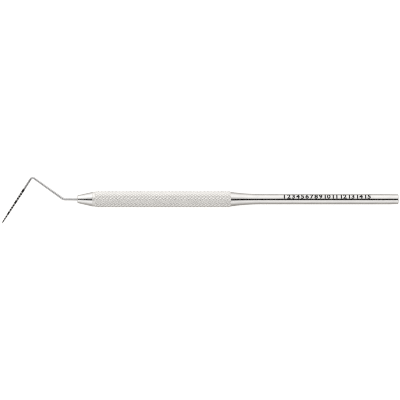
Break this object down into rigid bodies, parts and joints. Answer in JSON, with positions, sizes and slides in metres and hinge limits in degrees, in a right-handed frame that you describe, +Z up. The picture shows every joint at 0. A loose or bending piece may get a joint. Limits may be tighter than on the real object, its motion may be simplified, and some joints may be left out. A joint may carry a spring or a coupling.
{
  "type": "periodontal probe",
  "caption": "Slim single-ended dental hand instrument: knurled round handle with a polished nose cone and tail, and a thin bent wire whose tapered working end carries black millimetre bands.",
  "frame": {"origin": "on the surface that the probe lies on, below the middle of its outline seen from above", "axes": "+X along the handle's axis towards the tail, +Z up from the surface, +Y towards the elbow of the wire, whose two bends lie in the horizontal plane through the axis"},
  "size_m": [0.1484, 0.0174, 0.0058],
  "materials": {
    "handle_steel": "stainless steel, satin on the knurled grip and polished on the tail",
    "polished_steel": "polished stainless steel",
    "silver_braze": "bright silver braze",
    "wire_steel": "drawn and buffed stainless spring steel",
    "black_enamel": "hard black enamel, flush in turned grooves"
  },
  "bodies": {
    "root": {"handle": "handle_steel", "front_cone": "polished_steel", "braze_fillet": "silver_braze", "probe_wire": "wire_steel", "mark_01": "black_enamel", "mark_02": "black_enamel", "mark_03": "black_enamel", "mark_04_05": "black_enamel", "mark_06": "black_enamel", "mark_07": "black_enamel", "mark_08": "black_enamel", "mark_09_10": "black_enamel", "mark_11": "black_enamel", "mark_12": "black_enamel", "mark_13": "black_enamel", "mark_14_15": "black_enamel"}
  },
  "joints": []
}
